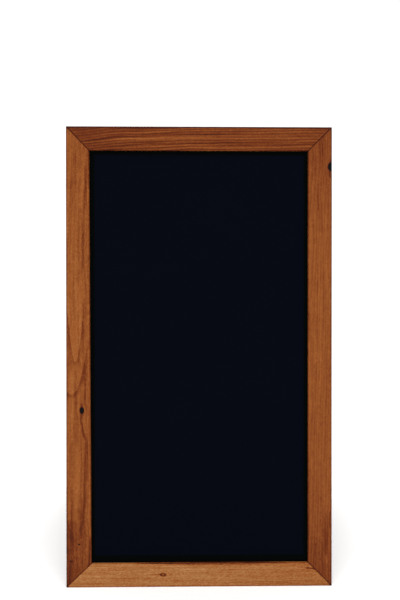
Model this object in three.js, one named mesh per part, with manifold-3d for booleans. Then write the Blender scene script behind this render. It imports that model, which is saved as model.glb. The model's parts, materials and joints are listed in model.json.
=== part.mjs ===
// Double-sided menu chalkboard easel: two mitred wooden frames, each with a chalkboard held in its rebate by
// beads, hinged back to back at the top and kept from spreading by a chain on each side.
// Millimetres, +Z up. The front board faces -Y, and +X is to the right of a person reading it.
// The origin is on the ground, at the middle of the standing easel's footprint.

import * as THREE from 'three';
import { mergeVertices } from 'three/addons/utils/BufferGeometryUtils.js';
import Module from 'manifold-3d';

// Frame of one board
const FRAME_WIDTH = 610;
const FRAME_HEIGHT = 1056; // along the board, on its outer face
const STOCK_WIDTH = 55;
const STOCK_THICKNESS = 20;
const EASED_EDGE = 1.5;
const REBATE_WIDTH = 10;
const REBATE_DEPTH = 15;
const LEAN_DEGREES = 13; // of each board from upright, when the easel stands open

// Chalkboard
const BOARD_THICKNESS = 4.8;
const BOARD_CLEARANCE = 1; // between its edges and the rebate

// Clearances
const GAP = 0.3; // between faces that meet
const REACH = 40; // how far a cutting block runs past what it cuts

// Biscuits glued across the mitres
const BISCUIT_LENGTH = 47;
const BISCUIT_WIDTH = 15;
const BISCUIT_THICKNESS = 4;
const BISCUIT_FROM_CORNER = 34; // along the mitre, to the biscuit's middle

// Butt hinges, screwed to the backs of the two top rails
const HINGE_LENGTH = 64;
const HINGE_FROM_CENTRE = 190;
const HINGE_LEAF_HEIGHT = 33; // below the hinge axis
const HINGE_LEAF_THICKNESS = 1.6;
const KNUCKLES = 5;
const BARREL_RADIUS = 3;
const PIN_RADIUS = 1.5;
const PIN_HEAD_RADIUS = 2.6;
const PIN_HEAD_LENGTH = 1.6;
const PIN_HEAD_BEVEL = 0.5;

// Countersunk wood screws in the hinges, placed across and up from the middle of the hinge's axis
const SCREW_PLACES = [[-23, -13], [0, -24], [23, -13]];
const SCREW_HEAD_RADIUS = 3.4;
const SCREW_SHANK_RADIUS = 1.6;
const SCREW_LENGTH = 16;
const SCREW_TIP_LENGTH = 4;

// Screw eyes in the stiles' inner edges, and the chains between them
const EYE_BELOW_AXIS = 700;
const EYE_RING_RADIUS = 3.4; // to the middle of the wire
const EYE_WIRE_RADIUS = 1;
const EYE_FROM_STILE = 1.5; // from the ring to the stile's inner edge
const EYE_SHANK_LENGTH = 22; // from the ring's middle line
const CHAIN_RADIUS = 4;
const CHAIN_SAG = 9;
const CHAIN_STEPS = 20;

// Sides of the round pieces
const ROUND_SIDES = 24;
const SLIM_SIDES = 12;
const CHAIN_SIDES = 8;

// Places in a board's own frame: its origin is on the hinge axis, +Z runs up the board, and the outer face is
// towards -Y.
const LEAN = THREE.MathUtils.degToRad(LEAN_DEGREES);
const BACK_FACE = -(GAP * 2 + HINGE_LEAF_THICKNESS);
const OUTER_FACE = BACK_FACE - STOCK_THICKNESS;
const REBATE_FACE = BACK_FACE - REBATE_DEPTH;
const TOP_EDGE = BARREL_RADIUS; // level with the top of the hinges' barrels
const BOTTOM_EDGE = TOP_EDGE - FRAME_HEIGHT;
const MIDDLE = (TOP_EDGE + BOTTOM_EDGE) / 2;
const OPENING_WIDTH = FRAME_WIDTH - 2 * STOCK_WIDTH;
const OPENING_HEIGHT = FRAME_HEIGHT - 2 * STOCK_WIDTH;
const BEAD_WIDTH = REBATE_WIDTH - GAP;
const BEAD_FRONT = REBATE_FACE + BOARD_THICKNESS + 2 * GAP;
const EYE_DEPTH = (BEAD_FRONT + BACK_FACE) / 2;
const EYE_ACROSS = OPENING_WIDTH / 2 - EYE_FROM_STILE - EYE_RING_RADIUS - EYE_WIRE_RADIUS;
const AXIS_HEIGHT = -BOTTOM_EDGE * Math.cos(LEAN) + OUTER_FACE * Math.sin(LEAN);

const wasm = await Module();
wasm.setup();

const stainedWood = new THREE.MeshStandardMaterial({ color: 0x91522a, roughness: 0.55 });
const paleWood = new THREE.MeshStandardMaterial({ color: 0xa56a3e, roughness: 0.6 });
const beadWood = new THREE.MeshStandardMaterial({ color: 0x84481f, roughness: 0.6 });
const beech = new THREE.MeshStandardMaterial({ color: 0xd2ac78, roughness: 0.8 });
const slate = new THREE.MeshStandardMaterial({ color: 0x080b14, roughness: 0.85 });
const brass = new THREE.MeshStandardMaterial({ color: 0xb8923f, roughness: 0.35, metalness: 1 });
const zinc = new THREE.MeshStandardMaterial({ color: 0x9da0a4, roughness: 0.4, metalness: 1 });

// A three.js geometry as a manifold-3d solid.
function solidOf(geometry) {
  const bare = geometry.clone();
  bare.deleteAttribute('normal');
  bare.deleteAttribute('uv');
  const merged = mergeVertices(bare, 1e-4);
  return new wasm.Manifold(new wasm.Mesh({
    numProp: 3,
    vertProperties: merged.attributes.position.array,
    triVerts: new Uint32Array(merged.index.array),
  }));
}

// A manifold-3d solid as a named three.js mesh.
function namedMesh(name, solid, material) {
  const { vertProperties, triVerts } = solid.getMesh();
  const geometry = new THREE.BufferGeometry();
  geometry.setAttribute('position', new THREE.BufferAttribute(vertProperties, 3));
  geometry.setIndex(new THREE.BufferAttribute(triVerts, 1));
  const mesh = new THREE.Mesh(geometry, material);
  mesh.name = name;
  return mesh;
}

// The points of an outline or of a lathe's profile, from pairs of numbers.
function points(pairs) {
  return pairs.map(([a, b]) => new THREE.Vector2(a, b));
}

// A block between two corners.
function block([x0, y0, z0], [x1, y1, z1]) {
  const geometry = new THREE.BoxGeometry(x1 - x0, y1 - y0, z1 - z0);
  return solidOf(geometry.translate((x0 + x1) / 2, (y0 + y1) / 2, (z0 + z1) / 2));
}

// A round bar along X, centred on the origin.
function bar(radius, length, sides) {
  return solidOf(new THREE.CylinderGeometry(radius, radius, length, sides).rotateZ(Math.PI / 2));
}

// A frame member along X, with its outer edge up at z = 0: an L-shaped section, mitred at both ends.
function frameMember(length) {
  const inner = -STOCK_WIDTH;
  const section = new THREE.Shape(points([
    [OUTER_FACE + EASED_EDGE, 0], [OUTER_FACE, -EASED_EDGE],
    [OUTER_FACE, inner + EASED_EDGE], [OUTER_FACE + EASED_EDGE, inner],
    [REBATE_FACE, inner], [REBATE_FACE, inner + REBATE_WIDTH],
    [BACK_FACE, inner + REBATE_WIDTH], [BACK_FACE, -EASED_EDGE], [BACK_FACE - EASED_EDGE, 0],
  ]));
  // The section's axes become Y and Z, and its extrusion runs along X.
  const turn = new THREE.Matrix4().makeBasis(
    new THREE.Vector3(0, 1, 0),
    new THREE.Vector3(0, 0, 1),
    new THREE.Vector3(1, 0, 0),
  );
  const stock = new THREE.ExtrudeGeometry(section, { depth: length, bevelEnabled: false })
    .applyMatrix4(turn)
    .translate(-length / 2, 0, 0);

  const outerEnd = length / 2 - GAP / Math.SQRT2;
  const innerEnd = outerEnd - STOCK_WIDTH;
  const plan = new THREE.Shape(points([
    [-outerEnd, 0], [-innerEnd, inner], [innerEnd, inner], [outerEnd, 0],
  ]));
  const depth = STOCK_THICKNESS + 2 * REACH;
  const mitred = new THREE.ExtrudeGeometry(plan, { depth, bevelEnabled: false })
    .rotateX(Math.PI / 2)
    .translate(0, BACK_FACE + REACH, 0);
  return solidOf(stock).intersect(solidOf(mitred));
}

// A biscuit lying in the frame's plane, its length along X, grown on every side by a clearance.
function biscuit(clearance) {
  const half = BISCUIT_LENGTH / 2 + clearance;
  const rise = BISCUIT_WIDTH / 2 + clearance;
  const radius = (half * half + rise * rise) / (2 * rise);
  const angle = Math.asin(half / radius);
  const outline = new THREE.Shape()
    .absarc(0, rise - radius, radius, Math.PI / 2 - angle, Math.PI / 2 + angle, false)
    .absarc(0, radius - rise, radius, -Math.PI / 2 - angle, -Math.PI / 2 + angle, false);
  const depth = BISCUIT_THICKNESS + 2 * clearance;
  const options = { depth, bevelEnabled: false, curveSegments: SLIM_SIDES / 2 };
  const flat = new THREE.ExtrudeGeometry(outline, options).translate(0, 0, -depth / 2);
  return solidOf(flat.rotateX(Math.PI / 2));
}

// A biscuit, or its slot, at the corner on one side (-1 or 1) and at the top (1) or bottom (-1).
function cornerBiscuit(side, end, clearance) {
  const inset = BISCUIT_FROM_CORNER / Math.SQRT2;
  const x = side * (FRAME_WIDTH / 2 - inset);
  const z = MIDDLE + end * (FRAME_HEIGHT / 2 - inset);
  return biscuit(clearance)
    .rotate([0, -45 * side * end, 0])
    .translate([x, (OUTER_FACE + BACK_FACE) / 2, z]);
}

// A countersunk screw driven towards -Y, with its head's face at y = 0.
function screw() {
  const countersink = SCREW_HEAD_RADIUS - SCREW_SHANK_RADIUS;
  return solidOf(new THREE.LatheGeometry(points([
    [0, -SCREW_LENGTH], [SCREW_SHANK_RADIUS, SCREW_TIP_LENGTH - SCREW_LENGTH],
    [SCREW_SHANK_RADIUS, -countersink], [SCREW_HEAD_RADIUS, 0], [0, 0],
  ]), SLIM_SIDES));
}

// The countersunk hole for a screw, open at y = 0.
function screwHole() {
  const head = SCREW_HEAD_RADIUS + GAP;
  const shank = SCREW_SHANK_RADIUS + GAP;
  const end = -SCREW_LENGTH - GAP;
  return solidOf(new THREE.LatheGeometry(points([
    [0, end], [shank, end], [shank, shank - head], [head, 0], [head, GAP], [0, GAP],
  ]), SLIM_SIDES));
}

// One screw or hole at each of a hinge leaf's screw places.
function atScrewPlaces(hingeX, make) {
  return SCREW_PLACES.map(([across, up]) => make().translate([hingeX + across, -GAP, up]));
}

// One of the equal stretches of a hinge's barrel, with a radius and length of its own.
function knuckle(index, radius, length) {
  const pitch = HINGE_LENGTH / KNUCKLES;
  return bar(radius, length, ROUND_SIDES).translate([(index - (KNUCKLES - 1) / 2) * pitch, 0, 0]);
}

// One leaf of a butt hinge at x = 0. Its knuckles are every second one from the first given.
function hingeLeaf(firstKnuckle) {
  const half = (HINGE_LENGTH - GAP) / 2;
  const pitch = HINGE_LENGTH / KNUCKLES;
  let leaf = block([-half, -GAP - HINGE_LEAF_THICKNESS, -HINGE_LEAF_HEIGHT], [half, -GAP, 0]);
  for (let i = 0; i < KNUCKLES; i++) {
    leaf = i % 2 === firstKnuckle
      ? leaf.add(knuckle(i, BARREL_RADIUS, pitch - GAP))
      : leaf.subtract(knuckle(i, BARREL_RADIUS + 2 * GAP, pitch + GAP));
  }
  return leaf.subtract(bar(PIN_RADIUS + GAP, HINGE_LENGTH + REACH, ROUND_SIDES));
}

// The hinge pin along X, headed at both ends.
function hingePin() {
  const end = HINGE_LENGTH / 2 + GAP;
  const tip = end + PIN_HEAD_LENGTH;
  const half = [
    [PIN_RADIUS, end], [PIN_HEAD_RADIUS, end],
    [PIN_HEAD_RADIUS, tip - PIN_HEAD_BEVEL], [PIN_HEAD_RADIUS - PIN_HEAD_BEVEL, tip], [0, tip],
  ];
  const otherHalf = half.map(([radius, along]) => [radius, -along]).reverse();
  const pin = new THREE.LatheGeometry(points([...otherHalf, ...half]), ROUND_SIDES);
  return solidOf(pin.rotateZ(-Math.PI / 2));
}

// A screw eye on one side (-1 or 1): a ring in the board's hollow back, and a shank through the bead.
function screwEye(side, clearance) {
  const wire = EYE_WIRE_RADIUS + clearance;
  const shank = bar(wire, EYE_SHANK_LENGTH, SLIM_SIDES)
    .translate([side * (EYE_RING_RADIUS + EYE_SHANK_LENGTH / 2), 0, 0]);
  return solidOf(new THREE.TorusGeometry(EYE_RING_RADIUS, wire, SLIM_SIDES, ROUND_SIDES))
    .add(shank)
    .translate([side * EYE_ACROSS, EYE_DEPTH, -EYE_BELOW_AXIS]);
}

// The four frame members, cut for the biscuits, hinges and screw eyes, and bevelled to sit on the ground.
function frameMembers() {
  const members = {
    top_rail: { length: FRAME_WIDTH, turn: 0, place: [0, 0, TOP_EDGE] },
    bottom_rail: { length: FRAME_WIDTH, turn: 180, place: [0, 0, BOTTOM_EDGE] },
    left_stile: { length: FRAME_HEIGHT, turn: -90, place: [-FRAME_WIDTH / 2, 0, MIDDLE] },
    right_stile: { length: FRAME_HEIGHT, turn: 90, place: [FRAME_WIDTH / 2, 0, MIDDLE] },
  };
  const notch = BARREL_RADIUS + 2 * GAP;
  const notchHalf = HINGE_LENGTH / 2 + PIN_HEAD_LENGTH + 2 * GAP;
  const hingeCuts = [-HINGE_FROM_CENTRE, HINGE_FROM_CENTRE].flatMap((x) => [
    block([x - notchHalf, -notch, -notch], [x + notchHalf, REACH, REACH]),
    ...atScrewPlaces(x, screwHole),
  ]);
  const biscuitSlots = [-1, 1].flatMap((side) => [-1, 1].map((end) => cornerBiscuit(side, end, GAP)));
  const eyeHoles = [-1, 1].map((side) => screwEye(side, GAP));
  const ground = block([-FRAME_WIDTH, -FRAME_HEIGHT, -REACH], [FRAME_WIDTH, FRAME_HEIGHT, 0])
    .translate([0, 0, -AXIS_HEIGHT])
    .rotate([LEAN_DEGREES, 0, 0]);
  const cuts = [...hingeCuts, ...biscuitSlots, ...eyeHoles, ground];
  return Object.entries(members).map(([name, { length, turn, place }]) => {
    const member = frameMember(length).rotate([0, turn, 0]).translate(place);
    return [name, cuts.reduce((rest, cut) => rest.subtract(cut), member)];
  });
}

// The beads that hold the chalkboard in the rebate: full-height ones at the sides, shorter ones between.
function beads() {
  const x1 = OPENING_WIDTH / 2;
  const x2 = x1 + BEAD_WIDTH;
  const z1 = OPENING_HEIGHT / 2;
  const z2 = z1 + BEAD_WIDTH;
  const between = x1 - GAP;
  const bead = ([xa, za], [xb, zb]) => (
    block([xa, BEAD_FRONT, MIDDLE + za], [xb, BACK_FACE, MIDDLE + zb])
  );
  return [
    ['bead_top', bead([-between, z1], [between, z2])],
    ['bead_bottom', bead([-between, -z2], [between, -z1])],
    ['bead_left', bead([-x2, -z2], [-x1, z2]).subtract(screwEye(-1, GAP))],
    ['bead_right', bead([x1, -z2], [x2, z2]).subtract(screwEye(1, GAP))],
  ];
}

function chalkboard() {
  const x = OPENING_WIDTH / 2 + REBATE_WIDTH - BOARD_CLEARANCE;
  const z = OPENING_HEIGHT / 2 + REBATE_WIDTH - BOARD_CLEARANCE;
  const front = REBATE_FACE + GAP;
  return block([-x, front, MIDDLE - z], [x, front + BOARD_THICKNESS, MIDDLE + z]);
}

// One complete board, front or rear. The rear one is turned round, which swaps its left and right, and all
// pieces are named for where they stand.
function board(place) {
  const turned = place === 'rear';
  const sideName = (side) => ((side < 0) === turned ? 'right' : 'left');
  const standing = (name) => name.replace(/left|right/, (word) => sideName(word === 'left' ? -1 : 1));
  const tilted = new THREE.Group();
  tilted.rotation.x = -LEAN;
  tilted.position.z = AXIS_HEIGHT;
  const put = (name, solid, material) => tilted.add(namedMesh(name, solid, material));

  for (const [name, solid] of frameMembers()) {
    put(`${place}_${standing(name)}`, solid, name === 'bottom_rail' ? paleWood : stainedWood);
  }
  for (const [name, solid] of beads()) put(`${place}_${standing(name)}`, solid, beadWood);
  put(`${place}_chalkboard`, chalkboard(), slate);

  for (const side of [-1, 1]) {
    const where = sideName(side);
    put(`${place}_biscuit_top_${where}`, cornerBiscuit(side, 1, 0), beech);
    put(`${place}_biscuit_bottom_${where}`, cornerBiscuit(side, -1, 0), beech);
    put(`${place}_screw_eye_${where}`, screwEye(side, 0), zinc);

    const hingeX = side * HINGE_FROM_CENTRE;
    const blank = hingeLeaf(turned ? 1 : 0).translate([hingeX, 0, 0]);
    const leaf = atScrewPlaces(hingeX, screwHole).reduce((rest, hole) => rest.subtract(hole), blank);
    put(`hinge_${where}_${place}_leaf`, leaf, brass);
    atScrewPlaces(hingeX, screw).forEach((fastener, i) => {
      put(`hinge_${where}_${place}_screw_${i + 1}`, fastener, brass);
    });
    if (!turned) put(`hinge_${where}_pin`, hingePin().translate([hingeX, 0, 0]), brass);
  }

  const stood = new THREE.Group();
  stood.rotation.z = turned ? Math.PI : 0;
  stood.add(tilted);
  return stood;
}

// The line of a hanging chain along Y, as a parabola.
class HangingLine extends THREE.Curve {
  constructor(x, halfSpan, height) {
    super();
    Object.assign(this, { x, halfSpan, height });
  }

  getPoint(t, target = new THREE.Vector3()) {
    const along = 2 * t - 1;
    return target.set(this.x, along * this.halfSpan, this.height - CHAIN_SAG * (1 - along * along));
  }
}

// The envelope of one side's chain, from just clear of the front screw eye to just clear of the rear one.
function chain(side) {
  const eyeY = EYE_DEPTH * Math.cos(LEAN) - EYE_BELOW_AXIS * Math.sin(LEAN);
  const eyeZ = AXIS_HEIGHT - EYE_BELOW_AXIS * Math.cos(LEAN) - EYE_DEPTH * Math.sin(LEAN);
  const halfSpan = -eyeY - EYE_RING_RADIUS - EYE_WIRE_RADIUS - 2 * GAP;
  const section = new THREE.Shape().absarc(0, 0, CHAIN_RADIUS, 0, 2 * Math.PI, false);
  return solidOf(new THREE.ExtrudeGeometry(section, {
    steps: CHAIN_STEPS,
    curveSegments: CHAIN_SIDES / 2,
    bevelEnabled: false,
    extrudePath: new HangingLine(side * EYE_ACROSS, halfSpan, eyeZ),
  }));
}

const easel = new THREE.Group();
easel.add(board('front'), board('rear'));
easel.add(namedMesh('chain_left', chain(-1), zinc), namedMesh('chain_right', chain(1), zinc));

export default easel;
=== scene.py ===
import json
import math
import random

import bmesh
import bpy
from mathutils import Matrix, Vector, noise


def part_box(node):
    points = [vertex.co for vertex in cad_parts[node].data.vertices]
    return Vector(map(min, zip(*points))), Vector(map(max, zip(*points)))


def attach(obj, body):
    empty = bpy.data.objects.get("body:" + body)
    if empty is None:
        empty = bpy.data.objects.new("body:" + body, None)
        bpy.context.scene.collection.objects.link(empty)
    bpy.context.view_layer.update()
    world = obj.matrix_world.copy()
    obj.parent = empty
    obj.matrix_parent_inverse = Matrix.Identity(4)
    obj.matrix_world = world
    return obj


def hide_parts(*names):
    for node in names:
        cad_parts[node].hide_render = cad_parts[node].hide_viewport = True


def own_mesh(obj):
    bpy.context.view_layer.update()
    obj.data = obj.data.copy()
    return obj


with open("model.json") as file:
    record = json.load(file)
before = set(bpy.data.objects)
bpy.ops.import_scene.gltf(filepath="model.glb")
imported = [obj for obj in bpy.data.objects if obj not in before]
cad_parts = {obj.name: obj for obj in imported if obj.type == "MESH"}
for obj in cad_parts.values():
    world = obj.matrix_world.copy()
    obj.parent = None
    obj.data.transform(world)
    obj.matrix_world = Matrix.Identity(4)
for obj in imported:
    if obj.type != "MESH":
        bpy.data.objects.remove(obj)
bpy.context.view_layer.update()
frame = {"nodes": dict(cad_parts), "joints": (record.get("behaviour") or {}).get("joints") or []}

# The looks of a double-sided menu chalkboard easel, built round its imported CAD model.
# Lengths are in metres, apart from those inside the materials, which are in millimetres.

MM = 0.001
SCENE = bpy.context.scene


# ---------------------------------------------------------------- camera, floor and light

CAMERA_PLACE = (-0.0274, -1.7155, 1.0201)
CAMERA_PITCH = math.radians(13.257)  # downwards
CAMERA_YAW = math.radians(1.028)  # to the right
CAMERA_ROLL = math.radians(0.214)
CAMERA_LENS = 43.16  # focal length in mm
FLOOR_REACH = 14  # from the middle to each edge
FLOOR_WHITE = (0.96, 0.96, 0.96, 1)
SURROUND_STRENGTH = 1.13
SOFTBOX_SIZE = 4
SOFTBOX_PLACE = (0, 0.2, 4.5)
SOFTBOX_AIM = (0, 0, 0.5)
SOFTBOX_WATTS = 100


def add_object(name, data):
    """A new object in the scene."""
    thing = bpy.data.objects.new(name, data)
    SCENE.collection.objects.link(thing)
    return thing


def add_camera():
    """Stands in front of the board, level with its top, and looks down at it square on."""
    camera = add_object("camera", bpy.data.cameras.new("camera"))
    camera.data.lens = CAMERA_LENS
    forward = Vector((
        math.sin(CAMERA_YAW) * math.cos(CAMERA_PITCH),
        math.cos(CAMERA_YAW) * math.cos(CAMERA_PITCH),
        -math.sin(CAMERA_PITCH),
    ))
    level = forward.cross(Vector((0, 0, 1))).normalized()
    upright = level.cross(forward)
    right = level * math.cos(CAMERA_ROLL) + upright * math.sin(CAMERA_ROLL)
    up = right.cross(forward)
    axes = Matrix((right, up, -forward)).transposed()
    camera.matrix_world = Matrix.Translation(CAMERA_PLACE) @ axes.to_4x4()
    SCENE.camera = camera


def add_floor():
    """A wide, pale, matt floor."""
    mesh = bpy.data.meshes.new("floor")
    corners = [(x * FLOOR_REACH, y * FLOOR_REACH, 0) for x, y in ((-1, -1), (1, -1), (1, 1), (-1, 1))]
    mesh.from_pydata(corners, [], [(0, 1, 2, 3)])
    material = bpy.data.materials.new("floor")
    material.use_nodes = True
    shader = material.node_tree.nodes["Principled BSDF"]
    shader.inputs["Base Color"].default_value = FLOOR_WHITE
    shader.inputs["Roughness"].default_value = 0.9
    shader.inputs["Specular IOR Level"].default_value = 0
    mesh.materials.append(material)
    add_object("floor", mesh)


def add_softbox():
    """A square light overhead, which shines down on the easel."""
    light = bpy.data.lights.new("overhead_softbox", "AREA")
    light.size = SOFTBOX_SIZE
    light.energy = SOFTBOX_WATTS
    lamp = add_object("overhead_softbox", light)
    lamp.location = SOFTBOX_PLACE
    lamp.rotation_euler = (Vector(SOFTBOX_AIM) - lamp.location).to_track_quat("-Z", "Y").to_euler()


def add_studio():
    """An even white surround, and the softbox."""
    world = bpy.data.worlds.new("studio")
    world.use_nodes = True
    background = world.node_tree.nodes["Background"]
    background.inputs["Color"].default_value = (1, 1, 1, 1)
    background.inputs["Strength"].default_value = SURROUND_STRENGTH
    SCENE.world = world
    SCENE.view_settings.view_transform = "Standard"
    add_softbox()


add_camera()
add_floor()
add_studio()


# ---------------------------------------------------------------- the frame's own places

HINGE = frame["joints"][0]
PIVOT = Vector(HINGE["pos_m"])
LEAN = math.radians(HINGE["range_deg"][1] / 2)  # of each board from upright


def board_matrix(place):
    """A board's own frame: origin on the hinge axis, +Z up the board, outer face towards -Y."""
    turn = math.pi if place == "rear" else 0
    return Matrix.Translation(PIVOT) @ Matrix.Rotation(turn, 4, "Z") @ Matrix.Rotation(-LEAN, 4, "X")


BOARD = {place: board_matrix(place) for place in ("front", "rear")}


def box_in_board(node):
    """The lowest and highest corners of a node of the front board, in that board's own frame."""
    inverse = BOARD["front"].inverted()
    corners = [inverse @ vertex.co for vertex in frame["nodes"][node].data.vertices]
    return [Vector(pick(corner[i] for corner in corners) for i in range(3)) for pick in (min, max)]


RAIL_LOW, RAIL_HIGH = box_in_board("front_top_rail")
PANEL_LOW, PANEL_HIGH = box_in_board("front_chalkboard")
SIDE_BEAD_LOW, SIDE_BEAD_HIGH = box_in_board("front_bead_right")
TOP_BEAD_LOW, TOP_BEAD_HIGH = box_in_board("front_bead_top")
LEAF_LOW, LEAF_HIGH = box_in_board("hinge_right_front_leaf")
PIN_LOW, PIN_HIGH = box_in_board("hinge_right_pin")
EYE_LOW, EYE_HIGH = box_in_board("front_screw_eye_right")

GAP = 0.3 * MM  # between CAD pieces that meet
HAIR = GAP / 9  # too little to see
OUTER_FACE = RAIL_LOW.y
BACK_FACE = RAIL_HIGH.y
TOP = RAIL_HIGH.z
BOTTOM = (OUTER_FACE * math.sin(LEAN) - PIVOT.z) / math.cos(LEAN)  # where the outer face meets the ground
MIDDLE = (TOP + BOTTOM) / 2
HEIGHT = TOP - BOTTOM
WIDTH = 2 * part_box("front_right_stile")[1].x
STOCK = RAIL_HIGH.z - RAIL_LOW.z
THICKNESS = BACK_FACE - OUTER_FACE
LIP = PANEL_LOW.y - GAP - OUTER_FACE  # from the outer face to the rebate, where the panel rests
OPENING = (WIDTH - 2 * STOCK, HEIGHT - 2 * STOCK)
REBATE = SIDE_BEAD_HIGH.x - OPENING[0] / 2 + GAP  # how far the rebate reaches out from the opening
HINGE_AT = (LEAF_LOW.x + LEAF_HIGH.x) / 2  # how far the middle of a hinge is from the board's middle
HINGE_LENGTH = LEAF_HIGH.x - LEAF_LOW.x
BARREL = LEAF_HIGH.z  # the outer radius of a hinge's knuckles


def standing_name(place, side):
    """Pieces are named for the side where they stand, and the rear board is turned round."""
    return "right" if (side > 0) == (place == "front") else "left"


def board_node(place, kind, x):
    """The node of a piece of a board, from its name and its place on the board's own X axis."""
    own_side = "right" if x > 0 else "left"
    return f"{place}_{kind.replace(own_side, standing_name(place, x))}"


# ---------------------------------------------------------------- mesh tools

SHARP_ANGLE = math.radians(40)
MERGE_DISTANCE = 1e-6
ALONG_X = Matrix.Rotation(math.radians(90), 4, "Y")  # lays a shape that was turned about Z along X


def loft(rings, closed=False):
    """A skin through rings of points, capped at both ends or joined round on itself."""
    shape = bmesh.new()
    loops = [[shape.verts.new(point) for point in ring] for ring in rings]
    for first, second in zip(loops, loops[1:] + loops[:1] if closed else loops[1:]):
        for i in range(len(first)):
            shape.faces.new((first[i - 1], first[i], second[i], second[i - 1]))
    if not closed:
        shape.faces.new(loops[0])
        shape.faces.new(loops[-1])
    bmesh.ops.remove_doubles(shape, verts=shape.verts, dist=MERGE_DISTANCE)
    bmesh.ops.recalc_face_normals(shape, faces=shape.faces)
    return shape


def turns(count):
    """Angles evenly round a circle."""
    return [2 * math.pi * i / count for i in range(count)]


def turned(outline, sides):
    """A round solid about Z, from a closed outline of pairs of radius and height."""
    rings = [[(r * math.cos(turn), r * math.sin(turn), z) for r, z in outline] for turn in turns(sides)]
    return loft(rings, closed=True)


def wire_loop(path, radius, sides):
    """A round wire along a closed path, given as pairs of X and Y."""
    upwards = Vector((0, 0, 1))
    path = [Vector((x, y, 0)) for x, y in path]
    rings = []
    for i, point in enumerate(path):
        outwards = (path[(i + 1) % len(path)] - path[i - 1]).cross(upwards).normalized()
        rings.append([
            point + (outwards * math.cos(turn) + upwards * math.sin(turn)) * radius
            for turn in turns(sides)])
    return loft(rings, closed=True)


def block(low, high, bevel):
    """A box between two corners, with rounded edges."""
    shape = bmesh.new()
    bmesh.ops.create_cube(shape, size=1)
    low, high = Vector(low), Vector(high)
    for vertex in shape.verts:
        vertex.co = (low + high) / 2 + vertex.co * (high - low)
    bmesh.ops.bevel(shape, geom=shape.edges[:], offset=bevel, segments=2, profile=0.5, affect="EDGES")
    return shape


def joined(shapes):
    """Several shapes as one."""
    whole = bmesh.new()
    for shape in shapes:
        mesh = bpy.data.meshes.new("part")
        shape.to_mesh(mesh)
        whole.from_mesh(mesh)
        bpy.data.meshes.remove(mesh)
        shape.free()
    return whole


def moved(shape, matrix):
    """The same shape, moved by a matrix."""
    bmesh.ops.transform(shape, matrix=matrix, verts=shape.verts)
    return shape


def finished_mesh(name, shape):
    """Turns a shape into a mesh that is smooth except at its sharp edges."""
    mesh = bpy.data.meshes.new(name)
    shape.to_mesh(mesh)
    shape.free()
    mesh.shade_smooth()
    mesh.set_sharp_from_angle(angle=SHARP_ANGLE)
    return mesh


def carved(shape, cutter):
    """A shape with another one cut out of it."""
    solids = [add_object("solid", finished_mesh("solid", part)) for part in (shape, cutter)]
    carve = solids[0].modifiers.new("carve", "BOOLEAN")
    carve.object = solids[1]
    carve.solver = "EXACT"
    graph = bpy.context.evaluated_depsgraph_get()
    result = bmesh.new()
    result.from_mesh(solids[0].evaluated_get(graph).data)
    for solid in solids:
        bpy.data.meshes.remove(solid.data)
    return result


def add_piece(name, mesh, matrix, material, body, replaced):
    """Places a mesh where it belongs, gives it its material and lets it ride on a body."""
    mesh = mesh.copy()
    mesh.transform(matrix)
    piece = add_object(name, mesh)
    mesh.materials.clear()
    mesh.materials.append(material)
    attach(piece, body)
    if replaced:
        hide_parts(*replaced)
    return piece


# ---------------------------------------------------------------- material tools

MIX_FACTOR, MIX_FIRST, MIX_SECOND, MIX_RESULT = 0, 6, 7, 2  # a Mix node's sockets for colours
SEED_STRIDES = (7.31, 3.17, 5.53)  # how far each seed moves the noise


class Field:
    """A value that varies over a surface. Arithmetic on it adds nodes to its shader."""

    def __init__(self, socket):
        self.socket = socket
        self.tree = socket.id_data

    def math(self, operation, *others):
        return grow(self.tree, "ShaderNodeMath", dict(enumerate((self, *others))), operation=operation)

    def __add__(self, other):
        return self.math("ADD", other)

    def __sub__(self, other):
        return self.math("SUBTRACT", other)

    def __mul__(self, other):
        return self.math("MULTIPLY", other)

    def __truediv__(self, other):
        return self.math("DIVIDE", other)

    def __pow__(self, other):
        return self.math("POWER", other)

    def __abs__(self):
        return self.math("ABSOLUTE")


def grow(tree, kind, inputs, output=0, **settings):
    """Adds a node to a shader, feeds its inputs and gives one of its outputs."""
    node = tree.nodes.new(kind)
    for name, value in settings.items():
        setattr(node, name, value)
    for name, value in inputs.items():
        if isinstance(value, Field):
            tree.links.new(value.socket, node.inputs[name])
        else:
            node.inputs[name].default_value = value
    return Field(node.outputs[output])


def linear(red, green, blue):
    """A colour given from 0 to 255, as a shader wants it."""
    shares = [value / 255 for value in (red, green, blue)]
    return [s / 12.92 if s <= 0.04045 else ((s + 0.055) / 1.055) ** 2.4 for s in shares] + [1]


def ramp(field, stops, interpolation="LINEAR"):
    """A colour that runs through the stops given as the field goes from 0 to 1."""
    node = field.tree.nodes.new("ShaderNodeValToRGB")
    field.tree.links.new(field.socket, node.inputs["Fac"])
    node.color_ramp.interpolation = interpolation
    elements = node.color_ramp.elements
    for index, (at, colour) in enumerate(stops):
        element = elements[index] if index < 2 else elements.new(at)
        element.position = at
        element.color = colour
    return Field(node.outputs["Color"])


def course(along, points, span=1.0):
    """Runs smoothly through pairs of distance along and value. No value is below 0 or above the span."""
    start, end = points[0][0], points[-1][0]
    stops = [((at - start) / (end - start), [value / span] * 3 + [1]) for at, value in points]
    return ramp((along - start) / (end - start), stops, "EASE") * span


def fade(field, start, end, low=0.0, high=1.0):
    """Goes smoothly from low to high as the field goes from start to end."""
    inputs = {"Value": field, "From Min": start, "From Max": end, "To Min": low, "To Max": high}
    return grow(field.tree, "ShaderNodeMapRange", inputs, interpolation_type="SMOOTHSTEP")


def combine(x, y, z):
    """A place made from three fields."""
    return grow(x.tree, "ShaderNodeCombineXYZ", {0: x, 1: y, 2: z})


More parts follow.
